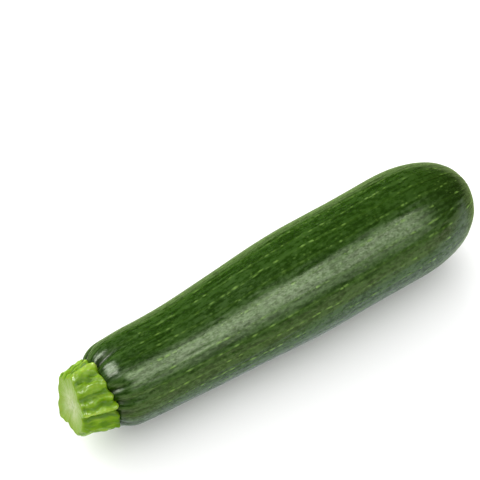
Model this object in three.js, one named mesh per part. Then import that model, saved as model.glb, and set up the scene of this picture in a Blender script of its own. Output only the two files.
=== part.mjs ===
// A courgette as it lies on a table: one green fruit and the short cut stalk that it grew on.
// Millimetres, +Z up. +X runs along the fruit from the stalk to the blossom end, and the
// origin is on the table under the middle of the whole.
// A place on either piece is given by its station, the distance along the axis from the middle
// of the cut face, its radius from the axis, and its turn about +X, from the top towards -Y.
import * as THREE from "three";

const { clamp, degToRad, lerp, smoothstep } = THREE.MathUtils;

// Driving dimensions
const LENGTH = 193.5; // middle of the cut face to the blossom scar
const BELLY_RADIUS = 23; // thickest part, towards the blossom end
const NECK_RADIUS = 19.2; // behind the stalk
const STALK_LENGTH = 12.9; // cut face to the seat on the fruit
const CUT_RADIUS = 11.7; // stalk at the cut, halfway between ridge and groove
const BASE_RADIUS = 14.9; // stalk where it spreads over the fruit's shoulder

// Fruit: taper, rounded ends and the scar that the flower left
const NECK_END = 37; // station where the neck starts to widen
const BELLY_START = 117; // station where the belly is at its thickest
const SHOULDER_REACH = 30.4; // length of the rounding at the stalk, of which the seat cuts off the tip
const SHOULDER_END = 37;
const SHOULDER_POWER = 2.8; // over 2 is blunter than an ellipse
const BLOSSOM_REACH = 37.3;
const BLOSSOM_POWER = 2.3;
const SCAR_RADIUS = 4.2;
const SCAR_DEPTH = 0.7;

// Belly: the underside bows a little, and its lowest stretch is pressed flat by the weight
const REST_STATION = 105;
const REST_DEPTH = 0.9; // how deep the flat spot cuts into the round section
const REST_HALF_LENGTH = 51; // the flat spot ends this far from its middle

// Five stalk ridges with a smaller one on each flank. The fruit is furrowed where they meet it.
const RIDGES = 5;
const SMALL_RIDGES = 15;
const RIDGE_TURN = degToRad(64); // turn of one main ridge
const CUT_RIDGE_SHARE = { main: 0.12, small: 0.05 }; // shares of the radius at the cut
const BASE_RIDGE_SHARE = { main: 0.05, small: 0.04 }; // and where it meets the fruit
const FURROW_SHARE = { main: 0.03, small: 0.032 }; // furrows in the shoulder, at the seat
const FURROW_FADE = 10; // they fade over about this distance along the fruit
const FACET_SHARE = 0.009; // the whole fruit is very slightly five-sided

// Stalk: a slanting knife cut with a shallow dish, on an axis that leans away
const LEAN = 0.8; // sideways offset of the cut end
const LEAN_TURN = degToRad(-42);
const CUT_SLOPE = 0.21; // the cut runs back along the stalk on the side that it leans to
const DISH_DEPTH = 0.6;
const JOINT_GAP = 0.3;

// Mesh density
const SEGMENTS = 90;
const FRUIT_STATIONS = 36;
const STALK_STATIONS = 8;
const CUT_RINGS = 3;

const CUT_CORNER = CUT_SLOPE * CUT_RADIUS * (1 + CUT_RIDGE_SHARE.main + CUT_RIDGE_SHARE.small);
const MIDDLE = (LENGTH - CUT_CORNER) / 2; // station of the origin

// Main ridges in step with small ones three times as close, as a share of the radius.
function ridges(turn, share) {
  const around = turn - RIDGE_TURN;
  return share.main * Math.cos(RIDGES * around) + share.small * Math.cos(SMALL_RIDGES * around);
}

// Share of the full radius at a distance from the tip of a rounded end.
function roundedEnd(distance, reach, power) {
  const inward = clamp(1 - distance / reach, 0, 1);
  return (1 - inward ** power) ** (1 / power);
}

// Distance from the tip at which a rounded end has a share of the full radius.
function distanceAtShare(share, reach, power) {
  return reach * (1 - (1 - share ** power) ** (1 / power));
}

// Radius of the fruit before its rounded ends: a slim neck that swells into the belly.
function bodyRadius(station) {
  return lerp(NECK_RADIUS, BELLY_RADIUS, smoothstep(station, NECK_END, BELLY_START));
}

// Height of the axis over the table, which keeps the underside on one shallow bow.
function axisHeight(station) {
  const fromRest = (station - REST_STATION) / REST_HALF_LENGTH;
  return bodyRadius(station) + REST_DEPTH * (fromRest ** 2 - 1);
}

// Turns a profile of (radius, station) points about its axis and hands each point to `place`,
// which moves it from its radius, station and turn to its place in the frame.
function turnedBody(profile, place) {
  const geometry = new THREE.LatheGeometry(profile, SEGMENTS);
  const position = geometry.getAttribute("position");
  const point = new THREE.Vector3();
  for (let i = 0; i < position.count; i += 1) {
    point.fromBufferAttribute(position, i);
    const radius = Math.hypot(point.x, point.z);
    const turn = Math.atan2(point.x, point.z);
    place(point, radius, point.y, turn);
    position.setXYZ(i, point.x, point.y, point.z);
  }
  geometry.computeVertexNormals();
  return geometry;
}

// The fruit's profile, from the middle of the stalk's seat to the middle of the blossom scar.
function fruitProfile() {
  const scarShare = SCAR_RADIUS / BELLY_RADIUS;
  const blossomTip = LENGTH + distanceAtShare(scarShare, BLOSSOM_REACH, BLOSSOM_POWER);
  const shoulderTip = SHOULDER_END - SHOULDER_REACH;
  const points = [new THREE.Vector2(0, STALK_LENGTH)];
  for (let i = 0; i <= FRUIT_STATIONS; i += 1) {
    const along = (1 - Math.cos((Math.PI * i) / FRUIT_STATIONS)) / 2;
    const station = lerp(STALK_LENGTH, LENGTH, along);
    const shoulder = roundedEnd(station - shoulderTip, SHOULDER_REACH, SHOULDER_POWER);
    const blossom = roundedEnd(blossomTip - station, BLOSSOM_REACH, BLOSSOM_POWER);
    points.push(new THREE.Vector2(bodyRadius(station) * shoulder * blossom, station));
  }
  points.push(new THREE.Vector2(0, LENGTH - SCAR_DEPTH));
  return points;
}

// Ribs the shoulder, makes the section slightly five-sided, and presses the belly flat.
function placeOnFruit(point, radius, station, turn) {
  const fade = Math.exp(-(station - STALK_LENGTH) / FURROW_FADE);
  const facets = FACET_SHARE * Math.cos(RIDGES * (turn - RIDGE_TURN));
  const reach = radius * (1 - fade * ridges(turn, FURROW_SHARE) - facets);
  const height = axisHeight(station) + reach * Math.cos(turn);
  point.set(station - MIDDLE, -reach * Math.sin(turn), Math.max(height, 0));
}

// The stalk's profile, from the dished middle of the cut face to the middle of its base.
function stalkProfile() {
  const points = [];
  for (let i = 0; i < CUT_RINGS; i += 1) {
    const out = i / CUT_RINGS;
    points.push(new THREE.Vector2(CUT_RADIUS * out, DISH_DEPTH * (1 - out ** 2)));
  }
  const base = STALK_LENGTH - JOINT_GAP;
  for (let i = 0; i <= STALK_STATIONS; i += 1) {
    const along = i / STALK_STATIONS;
    points.push(new THREE.Vector2(lerp(CUT_RADIUS, BASE_RADIUS, along), base * along));
  }
  points.push(new THREE.Vector2(0, base));
  return points;
}

// Ridges the stalk, slants its cut and leans its axis. All three fade towards the fruit.
function placeOnStalk(point, radius, station, turn) {
  const fromBase = 1 - station / STALK_LENGTH;
  const share = {
    main: lerp(BASE_RIDGE_SHARE.main, CUT_RIDGE_SHARE.main, fromBase),
    small: lerp(BASE_RIDGE_SHARE.small, CUT_RIDGE_SHARE.small, fromBase),
  };
  const reach = radius * (1 + ridges(turn, share));
  const slant = CUT_SLOPE * fromBase * reach * Math.cos(turn - LEAN_TURN);
  const lean = LEAN * fromBase;
  point.set(
    station + slant - MIDDLE,
    -reach * Math.sin(turn) - lean * Math.sin(LEAN_TURN),
    axisHeight(station) + reach * Math.cos(turn) + lean * Math.cos(LEAN_TURN),
  );
}

function namedMesh(name, geometry, color, roughness) {
  const material = new THREE.MeshStandardMaterial({ color, roughness, metalness: 0 });
  const mesh = new THREE.Mesh(geometry, material);
  mesh.name = name;
  return mesh;
}

const courgette = new THREE.Group();
courgette.name = "courgette";
courgette.add(
  namedMesh("fruit", turnedBody(fruitProfile(), placeOnFruit), 0x35571f, 0.36),
  namedMesh("stalk", turnedBody(stalkProfile(), placeOnStalk), 0x8db332, 0.5),
);

export default courgette;
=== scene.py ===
import bpy
import numpy as np
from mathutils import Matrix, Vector


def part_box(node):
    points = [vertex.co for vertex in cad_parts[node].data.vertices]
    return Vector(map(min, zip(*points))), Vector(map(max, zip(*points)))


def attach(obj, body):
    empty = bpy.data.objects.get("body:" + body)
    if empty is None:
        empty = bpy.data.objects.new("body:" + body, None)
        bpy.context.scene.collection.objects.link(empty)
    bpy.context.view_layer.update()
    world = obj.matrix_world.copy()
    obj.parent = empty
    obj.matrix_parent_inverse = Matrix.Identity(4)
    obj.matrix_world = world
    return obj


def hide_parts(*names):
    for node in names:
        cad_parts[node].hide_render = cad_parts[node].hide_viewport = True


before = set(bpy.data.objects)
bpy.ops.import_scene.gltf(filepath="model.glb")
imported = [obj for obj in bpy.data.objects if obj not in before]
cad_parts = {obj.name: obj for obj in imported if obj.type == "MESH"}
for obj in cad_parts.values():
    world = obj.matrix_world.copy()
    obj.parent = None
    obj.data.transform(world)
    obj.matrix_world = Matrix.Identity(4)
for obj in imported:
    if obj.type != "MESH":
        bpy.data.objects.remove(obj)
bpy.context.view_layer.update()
MM = 0.001

# Fruit: the sizes of its solid
LENGTH = 193.5
BELLY_RADIUS = 23.0
NECK_RADIUS = 19.2
STALK_LENGTH = 12.9
NECK_END = 37.0
BELLY_START = 117.0
SHOULDER_REACH = 30.4
SHOULDER_END = 37.0
SHOULDER_POWER = 2.8
BLOSSOM_REACH = 37.3
BLOSSOM_POWER = 2.3
SCAR_RADIUS = 4.2
REST_STATION = 105.0
REST_DEPTH = 0.9
REST_HALF_LENGTH = 51.0
FACET_SHARE = 0.009

# Stalk: the sizes of its solid
CUT_RADIUS = 11.7
BASE_RADIUS = 14.9
LEAN = 0.8
LEAN_TURN = np.radians(-42)
CUT_SLOPE = 0.21
DISH_DEPTH = 0.6

# Ridges shared by both pieces
RIDGES = 5
SMALL_RIDGES = 15
RIDGE_TURN = np.radians(64)

# Station of the frame's origin
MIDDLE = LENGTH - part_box("fruit")[1].x / MM


def smooth_step(value, low, high):
    """0 below low, 1 above high, and the cubic 3t2 - 2t3 between them."""
    t = np.clip((value - low) / (high - low), 0, 1)
    return t * t * (3 - 2 * t)


def waves(turn, station, seed, count, most_around, shortest):
    """Seamless random relief of about unit height: a sum of cosine waves, each with a whole number
    of periods round the piece and a wavelength of at least `shortest` mm along it."""
    draw = np.random.default_rng(seed)
    around = draw.integers(0, most_around + 1, count)
    along = draw.uniform(-1, 1, count) * 2 * np.pi / shortest
    phase = draw.uniform(0, 2 * np.pi, count)
    total = np.zeros(np.broadcast(turn, station).shape)
    for periods, rate, start in zip(around, along, phase):
        total += np.cos(periods * turn + rate * station + start)
    return total / np.sqrt(count)


def body_radius(station):
    """Neck radius, rising by a smooth step to the belly radius."""
    rise = smooth_step(station, NECK_END, BELLY_START)
    return NECK_RADIUS + (BELLY_RADIUS - NECK_RADIUS) * rise


def axis_height(station):
    """Height of the axis over the table: the body radius on a shallow parabola, whose lowest
    stretch lies under the table by the depth of the flat spot."""
    from_rest = (station - REST_STATION) / REST_HALF_LENGTH
    return body_radius(station) + REST_DEPTH * (from_rest**2 - 1)


def rounded_end(distance, reach, power):
    """Superellipse: the share of the full radius at a distance from the tip of a rounded end."""
    inward = np.clip(1 - distance / reach, 0, 1)
    return (1 - inward**power) ** (1 / power)


def fruit_radius(station):
    """Body radius times a superellipse at the shoulder and another at the blossom end."""
    scar_share = SCAR_RADIUS / BELLY_RADIUS
    cut_off = BLOSSOM_REACH * (1 - (1 - scar_share**BLOSSOM_POWER) ** (1 / BLOSSOM_POWER))
    shoulder = rounded_end(station - SHOULDER_END + SHOULDER_REACH, SHOULDER_REACH, SHOULDER_POWER)
    blossom = rounded_end(LENGTH + cut_off - station, BLOSSOM_REACH, BLOSSOM_POWER)
    return body_radius(station) * shoulder * blossom


# Points of the fruit's mesh, along its outline and round it
FRUIT_RINGS = 340
FRUIT_AROUND = 288

# Relief of the fruit's skin, in mm
FURROW_SPREAD = 14.0
RIB_SWELL = 0.75
SWELL_PLACE = 6.5
SWELL_REACH = 5.5
COLLAR_DIP = 1.3
COLLAR_REACH = 1.3
LUMP_HEIGHT = 0.16
STREAK_HEIGHT = 0.03
WRINKLE_HEIGHT = 0.1
WRINKLE_REACH = 16.0
SCAR_RIM = 0.25
SCAR_DEPTH = 0.7

# Furrows in the shoulder: turn in degrees, depth and width at the stalk, distance over which they fade
SHOULDER_FURROWS = [
    (-52, 2.2, 1.5, 12.0),
    (-11, 3.0, 1.1, 14.0),
    (40, 3.0, 1.8, 6.5),
    (62, 3.0, 1.6, 8.0),
    (80, 0.8, 1.5, 8.0),
    (104, 0.8, 1.5, 9.0),
    (132, 2.0, 1.5, 11.0),
    (168, 1.4, 1.5, 8.0),
    (205, 2.1, 1.5, 12.0),
    (238, 1.5, 1.5, 9.0),
    (279, 2.0, 1.5, 11.0),
]


def fruit_profile():
    """Radius and station at even steps along the fruit's outline: from inside the stalk's seat, out
    over the shoulder, along the belly and round the blossom end, then over a low rim into the scar,
    a shallow parabolic dish."""
    eased = (1 - np.cos(np.pi * np.linspace(0, 1, 4000))) / 2
    skin_station = STALK_LENGTH + (LENGTH - STALK_LENGTH) * eased
    inward = np.linspace(1, 0.06, 200)
    scar_station = LENGTH + SCAR_RIM * np.sin(np.pi * inward**4) - SCAR_DEPTH * (1 - inward**2)
    radius = np.concatenate([[NECK_RADIUS / 2], fruit_radius(skin_station), SCAR_RADIUS * inward])
    station = np.concatenate([[STALK_LENGTH], skin_station, scar_station])
    gone = np.concatenate([[0], np.cumsum(np.hypot(np.diff(radius), np.diff(station)))])
    even = np.linspace(0, gone[-1], FRUIT_RINGS)
    return np.interp(even, gone, radius), np.interp(even, gone, station)


def shoulder_furrows(turn, station, radius):
    """Height of the puckered shoulder: a bell-shaped swell a little way from the stalk, less a dip to
    the collar round it, less every furrow. A furrow falls off exponentially to both sides of its
    line, with a rounded bottom, and widens as it fades."""
    from_seat = np.clip(station - STALK_LENGTH, 0, None)
    swell = RIB_SWELL * np.exp(-(((from_seat - SWELL_PLACE) / SWELL_REACH) ** 2))
    height = swell - COLLAR_DIP * np.exp(-from_seat / COLLAR_REACH) + 0 * turn
    # shade: how deep in a furrow a place lies, the mask for the painted shade in the furrows
    shade = np.zeros_like(height)
    spread = 1 + from_seat / FURROW_SPREAD
    for degrees, depth, width, reach in SHOULDER_FURROWS:
        wander = 0.02 * np.sin(from_seat / 4 + degrees)
        aside = np.angle(np.exp(1j * (turn - np.radians(degrees) + wander))) * radius
        groove = np.exp(0.25 - np.hypot(aside / (width * spread), 0.25))
        groove = groove * np.exp(-((from_seat / reach) ** 1.5))
        height -= depth * groove
        shade = np.maximum(shade, groove)
    return height, shade


def blossom_wrinkles(turn, station):
    """Fine creases that run towards the blossom scar, fading away from it."""
    nearness = np.exp(-(LENGTH - station) / WRINKLE_REACH)
    return nearness * waves(turn, station, seed=5, count=24, most_around=34, shortest=30)


def on_frame(radius, station, turn, height, aside=0.0):
    """Points in the frame from radius, station and turn, round an axis at a height and a side."""
    along = station - MIDDLE
    across = aside - radius * np.sin(turn)
    up = height + radius * np.cos(turn)
    return np.stack(np.broadcast_arrays(along, across, up), axis=-1)


def closed_piece(name, rings, finish):
    """Makes a piece from rings of points in mm: quads join each ring to the next, and a fan closes
    the first and the last ring to their middle. It stands for the solid of the same name."""
    count, around = rings.shape[:2]
    corner = np.arange(count * around).reshape(count, around)
    beside = np.roll(corner, -1, axis=1)
    quads = np.stack([corner[:-1], beside[:-1], beside[1:], corner[1:]], axis=-1).reshape(-1, 4)
    first, last = count * around, count * around + 1
    first_fan = np.stack([np.full(around, first), beside[0], corner[0]], axis=-1)
    last_fan = np.stack([corner[-1], beside[-1], np.full(around, last)], axis=-1)
    points = np.concatenate([rings.reshape(-1, 3), [rings[0].mean(0), rings[-1].mean(0)]])
    mesh = bpy.data.meshes.new(name + "_surface")
    faces = quads.tolist() + first_fan.tolist() + last_fan.tolist()
    mesh.from_pydata((points * MM).tolist(), [], faces)
    mesh.shade_smooth()
    mesh.materials.append(finish)
    piece = bpy.data.objects.new(name + "_surface", mesh)
    bpy.context.scene.collection.objects.link(piece)
    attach(piece, "root")
    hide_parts(name)
    return piece


def mark(piece, name, values):
    """Keeps a vector for every ring point on the piece, and the first and last ring's mean at the
    two closing points."""
    ends = [values[0].mean(0), values[-1].mean(0)]
    flat = np.concatenate([values.reshape(-1, 3), ends]).astype(np.float32)
    layer = piece.data.attributes.new(name, "FLOAT_VECTOR", "POINT")
    layer.data.foreach_set("vector", flat.ravel())


def make_fruit(finish):
    """The fruit: its profile carried round the axis, furrowed at the shoulder, slightly five-sided
    and lumpy, finely streaked along its length, creased at the blossom end and pressed flat below."""
    radius, station = (line[:, None] for line in fruit_profile())
    turn = np.linspace(0, 2 * np.pi, FRUIT_AROUND, endpoint=False)[None, :]
    pucker, furrow_shade = shoulder_furrows(turn, station, radius)
    lumps = LUMP_HEIGHT * waves(turn, station, seed=1, count=30, most_around=4, shortest=40)
    streaks = STREAK_HEIGHT * waves(turn, station, seed=2, count=80, most_around=60, shortest=24)
    wrinkles = WRINKLE_HEIGHT * blossom_wrinkles(turn, station)
    facets = FACET_SHARE * np.cos(RIDGES * (turn - RIDGE_TURN))
    on_skin = np.clip(radius / SCAR_RADIUS - 0.6, 0, 1)
    reach = radius * (1 - facets) + on_skin * (lumps + streaks + wrinkles + pucker)
    rings = on_frame(reach, station, turn, axis_height(station))
    rings[..., 2] = np.maximum(rings[..., 2], 0)
    piece = closed_piece("fruit", rings, finish)
    straight = [BELLY_RADIUS * np.cos(turn), BELLY_RADIUS * np.sin(turn), station]
    mark(piece, "skin", np.stack(np.broadcast_arrays(*straight), axis=-1) * MM)
    on_scar = (station > LENGTH - 1) * (1 - smooth_step(radius, SCAR_RADIUS * 0.8, SCAR_RADIUS * 1.15))
    # mask for painted shade, tinted olive, towards the blossom end
    tip_shade = np.exp(-np.clip(LENGTH - station, 0, None) / WRINKLE_REACH)
    # marks: the mask for painted shade in the furrows, the mask for painted shade towards the blossom
    # end, and the scar
    mark(piece, "marks", np.stack(np.broadcast_arrays(furrow_shade, tip_shade, on_scar), axis=-1))
    return piece


# Points of the stalk's mesh
STALK_AROUND = 300
CUT_RINGS = 40
EDGE_RINGS = 6
SIDE_RINGS = 90
LIP_RINGS = 8

# Ridges of the stalk, as shares of its radius, at the cut and at the base
MAIN_RIDGE = 0.1
SMALL_RIDGE = 0.036
BASE_MAIN_RIDGE = 0.04
BASE_SMALL_RIDGE = 0.036

# A broad lobe and the groove beside it: share of the radius, turn and width in degrees
LOBE = 0.11
LOBE_TURN = 99
LOBE_WIDTH = 20
GROOVE = 0.1
GROOVE_TURN = 76
GROOVE_WIDTH = 6

# Finer relief of the stalk, in mm, and the turn of the tongue at the cut
EDGE_ROUNDING = 1.5
SCALLOP = 1.1
LIP_DEPTH = 1.4
KNOB_HEIGHT = 0.38
CUT_TONGUE = 1.8
TONGUE_TURN = np.radians(214)


def bell(turn, degrees, width):
    """1 at a turn, falling off to both sides as a Gaussian whose width is in degrees."""
    aside = np.degrees(np.angle(np.exp(1j * (turn - np.radians(degrees)))))
    return np.exp(-((aside / width) ** 2))


def stalk_ridges(turn, from_base):
    """Share of the radius that the ridges add, and how much of a crest a place is: main ridges in
    step with small ones three times as close, uneven round the stalk and lower at the fruit. One
    broad lobe has no small ridges, and a narrow groove parts it from the ridge beside it. The crest
    measure also paints shade: it is lowered on the lobe and in the groove, which colours them darker."""
    around = turn - RIDGE_TURN - 0.1 * np.sin(3 * (RIDGE_TURN - turn))
    uneven = 1 + 0.18 * np.sin(2 * turn + 0.7) + 0.12 * np.sin(3 * turn + 2.1)
    lobe = bell(turn, LOBE_TURN, LOBE_WIDTH)
    groove = bell(turn, GROOVE_TURN, GROOVE_WIDTH)
    main = BASE_MAIN_RIDGE + (MAIN_RIDGE - BASE_MAIN_RIDGE) * from_base
    small = BASE_SMALL_RIDGE + (SMALL_RIDGE - BASE_SMALL_RIDGE) * from_base
    wide = np.cos(RIDGES * around)
    narrow = np.cos(SMALL_RIDGES * around) * (1 - 0.85 * lobe)
    added = LOBE * lobe - GROOVE * groove
    # painted shade: the crest measure is lowered on the broad lobe and in the groove, so they are
    # coloured darker
    crest_and_shade = 0.5 + 0.14 * wide + 0.36 * narrow - 0.1 * lobe - 0.5 * groove
    return uneven * (main * wide + small * narrow) + added, crest_and_shade


def make_stalk(finish):
    """The stalk: rings run out over the dished cut, round its edge, down the ridged and knobbly side
    to a scalloped base on the shoulder, and in under the lip."""
    turn = np.linspace(0, 2 * np.pi, STALK_AROUND, endpoint=False)[None, :]
    out = np.linspace(0.03, 1 - EDGE_ROUNDING / CUT_RADIUS, CUT_RINGS)
    bend = np.linspace(0, np.pi / 2, EDGE_RINGS + 2)[1:-1]
    down = np.linspace(0, 1, SIDE_RINGS)
    tuck = np.linspace(0, 1, LIP_RINGS + 1)[1:]
    edge_in = EDGE_ROUNDING * (1 - np.sin(bend))
    edge_down = EDGE_ROUNDING * (1 - np.cos(bend))
    base_station = STALK_LENGTH - LIP_DEPTH / 2
    side_station = EDGE_ROUNDING + (base_station - EDGE_ROUNDING) * down
    side_radius = CUT_RADIUS + (BASE_RADIUS - CUT_RADIUS) * side_station / STALK_LENGTH
    lip_radius = side_radius[-1] - LIP_DEPTH * (1 - np.cos(tuck * np.pi / 2)) * 2
    lip_station = base_station + LIP_DEPTH * np.sin(tuck * np.pi / 2)
    radius = np.concatenate([CUT_RADIUS * out, CUT_RADIUS - edge_in, side_radius, lip_radius])[:, None]
    dish = DISH_DEPTH * (1 - out**2)
    station = np.concatenate([dish, edge_down, side_station, lip_station])[:, None]
    from_base = np.clip(1 - station / STALK_LENGTH, 0, 1)
    ridge, crest_and_shade = stalk_ridges(turn, from_base)
    on_side = smooth_step(station, 0.2, 3.0)
    knobs = KNOB_HEIGHT * on_side * waves(turn, station, seed=11, count=80, most_around=30, shortest=5.5)
    scallop = SCALLOP * (crest_and_shade - 0.4) * smooth_step(station, 6.0, base_station)
    outward = np.clip(radius / CUT_RADIUS, 0, 1)
    tongue = CUT_TONGUE * outward**2 * from_base**2 * np.exp(3 * (np.cos(turn - TONGUE_TURN) - 1))
    reach = radius * (1 + ridge) + knobs
    slant = CUT_SLOPE * from_base * reach * np.cos(turn - LEAN_TURN) - tongue
    lean = LEAN * from_base
    height = axis_height(station) + lean * np.cos(LEAN_TURN)
    aside = -lean * np.sin(LEAN_TURN)
    rings = on_frame(reach, station + slant + scallop, turn, height, aside)
    piece = closed_piece("stalk", rings, finish)
    straight = [CUT_RADIUS * np.cos(turn), CUT_RADIUS * np.sin(turn), station]
    mark(piece, "skin", np.stack(np.broadcast_arrays(*straight), axis=-1) * MM)
    ring = np.arange(len(station))[:, None]
    on_cut = 1 - smooth_step(ring, CUT_RINGS - 1, CUT_RINGS + EDGE_RINGS - 1)
    mark(piece, "marks", np.stack(np.broadcast_arrays(crest_and_shade, on_cut, outward), axis=-1))
    return piece


class Finish:
    """A material under construction: adds nodes, joins their sockets and holds the one shader."""

    def __init__(self, name):
        self.material = bpy.data.materials.new(name)
        self.material.use_nodes = True
        self.tree = self.material.node_tree
        self.shader = self.tree.nodes["Principled BSDF"]

    def add(self, kind, inputs=None, **settings):
        """Adds a node; inputs are constants or other nodes' sockets, by socket name or number."""
        return add_node(self.tree, kind, inputs, **settings)

    def math(self, operation, *values):
        """One Math node on sockets or numbers."""
        return self.add("ShaderNodeMath", dict(enumerate(values)), operation=operation).outputs[0]

    def tint(self, mask, below, above):
        """Mixes two colours or colour sockets by a mask."""
        mixed = self.add("ShaderNodeMix", {"Factor": mask, 6: below, 7: above}, data_type="RGBA")
        return mixed.outputs[2]

    def span(self, value, low, high, new_low=0.0, new_high=1.0):
        """A smooth step of a value from one span to another."""
        spans = {"Value": value, "From Min": low, "From Max": high, "To Min": new_low, "To Max": new_high}
        return self.add("ShaderNodeMapRange", spans, interpolation_type="SMOOTHSTEP").outputs[0]

    def group(self, tree, **sockets):
        """Adds a shared node group with its inputs and gives its one output."""
        node = self.add("ShaderNodeGroup", None, node_tree=tree)
        for name, value in sockets.items():
            feed(self.tree, node.inputs[name], value)
        return node.outputs[0]

    def put(self, **sockets):
        """Sets or joins the shader's own sockets; an underscore stands for a space."""
        for name, value in sockets.items():
            feed(self.tree, self.shader.inputs[name.replace("_", " ")], value)


def feed(tree, socket, value):
    """Joins a socket to another node's output, or sets it to a constant."""
    if isinstance(value, bpy.types.NodeSocket):
        tree.links.new(value, socket)
    elif isinstance(value, tuple) and socket.type == "RGBA":
        socket.default_value = (*value, 1.0)
    else:
        socket.default_value = value


def add_node(tree, kind, inputs=None, **settings):
    """Adds one node to a tree with its settings and inputs."""
    node = tree.nodes.new(kind)
    for name, value in settings.items():
        setattr(node, name, value)
    for name, value in (inputs or {}).items():
        feed(tree, node.inputs[name], value)
    return node


def new_group(name, inputs, outputs):
    """An empty shader node group with named sockets, and its input and output nodes."""
    tree = bpy.data.node_groups.new(name, "ShaderNodeTree")
    for label, kind, value in inputs:
        socket = tree.interface.new_socket(label, in_out="INPUT", socket_type=kind)
        if value is not None:
            socket.default_value = value
    for label, kind in outputs:
        tree.interface.new_socket(label, in_out="OUTPUT", socket_type=kind)
    return tree, tree.nodes.new("NodeGroupInput"), tree.nodes.new("NodeGroupOutput")


def grain_group():
    """Plant grain: noise stretched along the piece, as a value about one half."""
    inputs = [
        ("Place", "NodeSocketVector", None),
        ("Across", "NodeSocketFloat", 800.0),
        ("Along", "NodeSocketFloat", 200.0),
        ("Detail", "NodeSocketFloat", 3.0),
    ]
    tree, given, result = new_group("plant_grain", inputs, [("Grain", "NodeSocketFloat")])
    across, along = given.outputs["Across"], given.outputs["Along"]
    scale = add_node(tree, "ShaderNodeCombineXYZ", {"X": across, "Y": across, "Z": along})
    stretch = {0: given.outputs["Place"], 1: scale.outputs[0]}
    place = add_node(tree, "ShaderNodeVectorMath", stretch, operation="MULTIPLY")
    noise_inputs = {"Vector": place.outputs[0], "Scale": 1.0, "Detail": given.outputs["Detail"]}
    noise = add_node(tree, "ShaderNodeTexNoise", noise_inputs)
    feed(tree, result.inputs["Grain"], noise.outputs["Fac"])
    return tree


def fleck_group():
    """Scattered flecks: small soft spots round the points of a cell pattern stretched along the
    piece, each cell with a size of its own, some of them empty."""
    inputs = [
        ("Place", "NodeSocketVector", None),
        ("Across", "NodeSocketFloat", 500.0),
        ("Along", "NodeSocketFloat", 200.0),
        ("Size", "NodeSocketFloat", 0.3),
    ]
    tree, given, result = new_group("plant_flecks", inputs, [("Flecks", "NodeSocketFloat")])
    across, along = given.outputs["Across"], given.outputs["Along"]
    scale = add_node(tree, "ShaderNodeCombineXYZ", {"X": across, "Y": across, "Z": along})
    stretch = {0: given.outputs["Place"], 1: scale.outputs[0]}
    place = add_node(tree, "ShaderNodeVectorMath", stretch, operation="MULTIPLY")
    cells = add_node(tree, "ShaderNodeTexVoronoi", {"Vector": place.outputs[0], "Scale": 1.0})
    chance = add_node(tree, "ShaderNodeSeparateColor", {0: cells.outputs["Color"]})
    size = {0: chance.outputs[0], 1: given.outputs["Size"]}
    reach = add_node(tree, "ShaderNodeMath", size, operation="MULTIPLY")
    spot_inputs = {"Value": cells.outputs["Distance"], "From Min": reach.outputs[0], "From Max": 0.0}
    spot = add_node(tree, "ShaderNodeMapRange", spot_inputs, interpolation_type="SMOOTHSTEP")
    feed(tree, result.inputs["Flecks"], spot.outputs[0])
    return tree


GRAIN = grain_group()
FLECKS = fleck_group()

# The fruit's skin: rows of flecks along its veins, from where the shoulder ends
VEINS = 25
VEIN_TURN = 15.0
FLECKS_START = 16 * MM
FLECKS_FULL = 34 * MM

# Stations between which the wax clears from the hazy shoulder, and its roughness at both
HAZE_START = 24 * MM
HAZE_END = 42 * MM
SHOULDER_HAZE = 0.3
BODY_HAZE = 0.21

# Colours of the skin
SKIN_DARK = (0.0076, 0.0268, 0.0005)
SKIN_GREEN = (0.0222, 0.069, 0.0014)
SKIN_PALE = (0.052, 0.118, 0.009)
FLECK_LIME = (0.13, 0.24, 0.035)
# Painted shade: the near-black green of the shoulder's furrows
FURROW_SHADE = (0.006, 0.017, 0.0015)
# Painted shade towards the blossom end, with an olive tint of the skin's own
TIP_SHADE_OLIVE = (0.0095, 0.015, 0.0025)
SCAR_TAN = (0.19, 0.125, 0.05)
SCAR_BROWN = (0.06, 0.035, 0.014)


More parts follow.
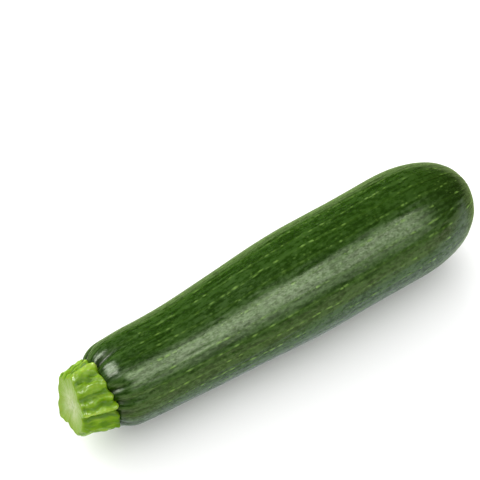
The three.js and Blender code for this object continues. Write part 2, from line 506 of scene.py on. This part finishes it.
def skin_finish():
    """Waxy dark green skin: mottled and finely streaked along the fruit, with rows of pale flecks on
    the veins, plain and hazy at the shoulder, with painted shade in the furrows and painted shade,
    tinted olive, towards the blossom end, and a corky scar."""
    skin = Finish("courgette_skin")
    place = skin.add("ShaderNodeAttribute", attribute_name="skin").outputs["Vector"]
    marks = skin.add("ShaderNodeAttribute", attribute_name="marks").outputs["Vector"]
    furrow_shade, tip_shade, on_scar = skin.add("ShaderNodeSeparateXYZ", {0: marks}).outputs
    x, y, station = skin.add("ShaderNodeSeparateXYZ", {0: place}).outputs

    blotch = skin.group(GRAIN, Place=place, Across=650.0, Along=380.0, Detail=2.0)
    streak = skin.group(GRAIN, Place=place, Across=640.0, Along=80.0, Detail=2.0)
    mottle = skin.group(GRAIN, Place=place, Across=90.0, Along=25.0, Detail=2.0)
    fine = skin.group(GRAIN, Place=place, Across=1700.0, Along=900.0, Detail=1.0)

    wander = skin.math("MULTIPLY_ADD", mottle, 0.5, -VEIN_TURN * VEINS / 360 - 0.25)
    turn = skin.math("ARCTAN2", y, x)
    row = skin.math("MULTIPLY_ADD", turn, VEINS / (2 * np.pi), wander)
    from_vein = skin.math("ABSOLUTE", skin.math("WRAP", row, 0.5, -0.5))
    vein = skin.span(from_vein, 0.13, 0.04)
    dashes = skin.group(FLECKS, Place=place, Across=560.0, Along=330.0, Size=0.85)
    dots = skin.group(FLECKS, Place=place, Across=480.0, Along=360.0, Size=0.36)
    flecks = skin.math("MAXIMUM", skin.math("MULTIPLY", dashes, vein), skin.math("MULTIPLY", dots, 0.3))
    body = skin.span(station, FLECKS_START, FLECKS_FULL)
    flecks = skin.math("MULTIPLY", flecks, body)

    tone = skin.math("MULTIPLY_ADD", blotch, 0.48, skin.math("MULTIPLY", streak, 0.4))
    tone = skin.math("MULTIPLY_ADD", mottle, 0.12, tone)
    green = skin.tint(skin.span(tone, 0.35, 0.65), SKIN_DARK, SKIN_GREEN)
    green = skin.tint(skin.span(fine, 0.55, 0.8, 0.0, 0.4), green, SKIN_PALE)
    green = skin.tint(skin.math("MULTIPLY", vein, 0.22), green, SKIN_PALE)
    # painted shade towards the blossom end, tinted olive
    green = skin.tint(skin.math("MULTIPLY", tip_shade, 0.85), green, TIP_SHADE_OLIVE)
    green = skin.tint(skin.math("MULTIPLY", flecks, 0.9), green, FLECK_LIME)
    # painted shade in the shoulder's furrows
    green = skin.tint(skin.span(furrow_shade, 0.3, 0.95, 0.0, 0.85), green, FURROW_SHADE)
    cork = skin.tint(skin.span(streak, 0.35, 0.65), SCAR_BROWN, SCAR_TAN)
    colour = skin.tint(on_scar, green, cork)

    dull = skin.span(tone, 0.38, 0.66, 0.2, 0.38)
    dull = skin.math("MULTIPLY_ADD", flecks, 0.12, dull)
    dull = skin.math("MULTIPLY_ADD", on_scar, 0.4, dull)
    raised = skin.math("MULTIPLY_ADD", flecks, 0.4, tone)
    bump = skin.add("ShaderNodeBump", {"Strength": 0.45, "Distance": 0.0003, "Height": raised})
    patchy = skin.math("MULTIPLY_ADD", fine, 0.5, skin.math("MULTIPLY", blotch, 0.5))
    wax = skin.span(patchy, 0.34, 0.66)
    hazy = skin.span(station, HAZE_START, HAZE_END, SHOULDER_HAZE, BODY_HAZE)
    skin.put(Base_Color=colour, Roughness=dull, Normal=bump.outputs[0], IOR=1.33)
    skin.put(Specular_Tint=(0.93, 1.0, 0.78), Coat_Weight=wax, Coat_Roughness=hazy, Coat_IOR=1.38)
    return skin.material


# Colours of the stalk's side and of its cut face; the valley colour is painted shade in the grooves and
# the pale ridge colour partly a painted highlight
STALK_VALLEY_SHADE = (0.07, 0.16, 0.001)
STALK_GREEN = (0.15, 0.28, 0.004)
STALK_RIDGE = (0.29, 0.44, 0.04)
CUT_PITH = (0.42, 0.48, 0.25)
CUT_FLESH = (0.195, 0.305, 0.03)
CUT_RIM = (0.17, 0.29, 0.012)


def stalk_finish():
    """Fibrous yellow-green stalk: paler and glossy on the ridges, the paleness partly a painted
    highlight, deeper green with painted shade in the grooves and on the broad lobe, with a cut face
    that is palest in the middle."""
    stalk = Finish("courgette_stalk")
    place = stalk.add("ShaderNodeAttribute", attribute_name="skin").outputs["Vector"]
    marks = stalk.add("ShaderNodeAttribute", attribute_name="marks").outputs["Vector"]
    crest_and_shade, on_cut, outward = stalk.add("ShaderNodeSeparateXYZ", {0: marks}).outputs
    body = stalk.add("ShaderNodeTexCoord").outputs["Object"]

    fibre = stalk.group(GRAIN, Place=place, Across=900.0, Along=200.0, Detail=3.0)
    blotch = stalk.group(GRAIN, Place=place, Across=330.0, Along=250.0, Detail=2.0)
    moist = stalk.group(GRAIN, Place=body, Across=600.0, Along=600.0, Detail=4.0)
    # painted shade and highlight: grooves, the lobe and the groove beside it darker, ridge crests paler,
    # mixed with random blotches
    uneven = stalk.math("MULTIPLY_ADD", blotch, 1.3, stalk.math("ADD", crest_and_shade, -0.65))
    side = stalk.tint(stalk.span(uneven, 0.1, 0.65), STALK_VALLEY_SHADE, STALK_GREEN)
    side = stalk.tint(stalk.span(uneven, 0.6, 1.2), side, STALK_RIDGE)
    side = stalk.tint(stalk.span(fibre, 0.5, 0.75, 0.0, 0.4), side, STALK_RIDGE)
    cut = stalk.tint(stalk.span(outward, 0.1, 0.85), CUT_PITH, CUT_FLESH)
    cut = stalk.tint(stalk.span(moist, 0.4, 0.7, 0.0, 0.6), cut, CUT_FLESH)
    cut = stalk.tint(stalk.span(outward, 0.82, 0.98), cut, CUT_RIM)
    colour = stalk.tint(on_cut, side, cut)
    dull = stalk.span(fibre, 0.3, 0.7, 0.32, 0.5)
    raised = stalk.math("MULTIPLY_ADD", moist, 0.6, fibre)
    bump = stalk.add("ShaderNodeBump", {"Strength": 0.8, "Distance": 0.0004, "Height": raised})
    stalk.put(Base_Color=colour, Roughness=dull, Normal=bump.outputs[0], IOR=1.2)
    on_side = stalk.math("SUBTRACT", 1.0, on_cut)
    glint = stalk.math("MULTIPLY", stalk.span(uneven, 0.45, 0.95), on_side)
    stalk.put(Coat_Weight=glint, Coat_Roughness=0.15, Coat_IOR=1.45)
    stalk.put(Subsurface_Weight=0.12, Subsurface_Scale=0.003)
    return stalk.material


# Camera: the photograph's frame in pixels, where the courgette's middle shows in it, and the angle
PHOTO_SIDE = 480
COURGETTE_PIXEL = (270.5, 300.9)
PIXELS_PER_METRE = 2458.0
CAMERA_AZIMUTH = np.radians(-35.3)
CAMERA_ELEVATION = np.radians(52.7)
CAMERA_DISTANCE = 1.2
SENSOR = 36.0
AIM_HEIGHT = 0.02

# Table, a sheet of painted reflections, room and lights
TABLE_REACH = 3.0
TABLE_PALE = (0.92, 0.92, 0.92)
# Painted reflections: colours of a sheet that only the gloss shows
REFLECTED_WHITE = (0.8, 0.87, 0.92)
REFLECTED_CREAM = (0.76, 0.76, 0.5)
REFLECTED_GREEN = (0.27, 0.39, 0.12)
SHEET_LIFT = 0.05 * MM
ROOM_STRENGTH = 1.3
FRONT_TINT = (0.92, 1.0, 0.81)


def photo_camera():
    """A long lens at the photograph's angle, aimed beside the courgette so that its middle falls on
    the photograph's pixel."""
    a, e = CAMERA_AZIMUTH, CAMERA_ELEVATION
    back = Vector((np.sin(a) * np.cos(e), -np.cos(a) * np.cos(e), np.sin(e)))
    right = Vector((np.cos(a), np.sin(a), 0))
    up = back.cross(right)
    middle = Vector((0, 0, AIM_HEIGHT))
    aside = (PHOTO_SIDE / 2 - COURGETTE_PIXEL[0]) / PIXELS_PER_METRE
    above = (COURGETTE_PIXEL[1] - PHOTO_SIDE / 2) / PIXELS_PER_METRE
    lens = bpy.data.cameras.new("photo_lens")
    lens.sensor_width = SENSOR
    lens.lens = SENSOR * CAMERA_DISTANCE * PIXELS_PER_METRE / PHOTO_SIDE
    camera = bpy.data.objects.new("photo_camera", lens)
    bpy.context.scene.collection.objects.link(camera)
    camera.location = middle + back * CAMERA_DISTANCE
    sight = middle + right * aside + up * above - camera.location
    camera.rotation_euler = sight.to_track_quat("-Z", "Y").to_euler()
    bpy.context.scene.camera = camera


def soft_box(name, place, size, radiance, tint=(1.0, 1.0, 1.0), lights=True, mirrored=True):
    """A rectangular light of a tint, aimed at the courgette. `lights` says whether matt surfaces get
    its light, and `mirrored` whether gloss shows it."""
    lamp = bpy.data.lights.new(name, "AREA")
    lamp.shape = "RECTANGLE"
    lamp.size, lamp.size_y = size
    lamp.energy = radiance * np.pi * size[0] * size[1]
    lamp.color = tint
    box = bpy.data.objects.new(name, lamp)
    bpy.context.scene.collection.objects.link(box)
    box.location = place
    aim = Vector((0, 0, AIM_HEIGHT)) - Vector(place)
    box.rotation_euler = aim.to_track_quat("-Z", "Y").to_euler()
    box.visible_camera = False
    box.visible_diffuse = lights
    box.visible_glossy = mirrored


def level_sheet(name, height, finish):
    """A wide level square sheet: a grid of two by two points."""
    x, y = np.meshgrid([-TABLE_REACH, TABLE_REACH], [-TABLE_REACH, TABLE_REACH])
    points = np.stack([x, y, np.full_like(x, height)], axis=-1).reshape(-1, 3)
    mesh = bpy.data.meshes.new(name)
    mesh.from_pydata(points.tolist(), [], [(0, 1, 3, 2)])
    mesh.materials.append(finish)
    sheet = bpy.data.objects.new(name, mesh)
    bpy.context.scene.collection.objects.link(sheet)
    return sheet


def pale_table():
    """A wide pale table top."""
    table = Finish("pale_table")
    table.put(Base_Color=TABLE_PALE, Roughness=0.8)
    level_sheet("pale_table", -SHEET_LIFT, table.material)


def gloss_sheet():
    """A sheet on the table that only the gloss shows, a painted reflection: green behind the courgette
    and beyond its blossom end, bluish white close in front of it, and cream farther out."""
    reflection_sheet = Finish("gloss_sheet")
    place = reflection_sheet.add("ShaderNodeTexCoord").outputs["Object"]
    x, y, _ = reflection_sheet.add("ShaderNodeSeparateXYZ", {0: place}).outputs
    behind = reflection_sheet.math("MULTIPLY_ADD", x, 0.35, y)
    colour = reflection_sheet.tint(reflection_sheet.span(behind, -0.04, -0.075), REFLECTED_WHITE, REFLECTED_CREAM)
    colour = reflection_sheet.tint(reflection_sheet.span(behind, -0.015, 0.035), colour, REFLECTED_GREEN)
    reflection_sheet.put(Base_Color=colour, Roughness=0.8)
    sheet = level_sheet("gloss_sheet", SHEET_LIFT, reflection_sheet.material)
    sheet.visible_camera = False
    sheet.visible_diffuse = False
    sheet.visible_shadow = False


def soft_room():
    """An even pale room that lights everything softly but isn't mirrored in the gloss."""
    world = bpy.data.worlds.new("room")
    bpy.context.scene.world = world
    world.use_nodes = True
    sky = world.node_tree.nodes["Background"]
    feed(world.node_tree, sky.inputs["Color"], (1.0, 1.0, 1.0))
    feed(world.node_tree, sky.inputs["Strength"], ROOM_STRENGTH)
    world.cycles_visibility.glossy = False


make_fruit(skin_finish())
make_stalk(stalk_finish())
photo_camera()
pale_table()
gloss_sheet()
soft_room()
front = {"tint": FRONT_TINT, "lights": False}
soft_box("front_card", place=(0.1, -0.64, 0.76), size=(0.66, 0.6), radiance=4.9, **front)
soft_box("front_card_glow", place=(0.1, -0.7, 0.7), size=(1.0, 1.2), radiance=2.2, **front)
soft_box("stalk_card", place=(-0.54, 0.25, 0.82), size=(0.82, 0.7), radiance=12.0, lights=False)
soft_box("back_fill", place=(0.1, 0.95, 0.42), size=(1.4, 0.5), radiance=5.2, mirrored=False)
bpy.context.scene.view_settings.view_transform = "Standard"
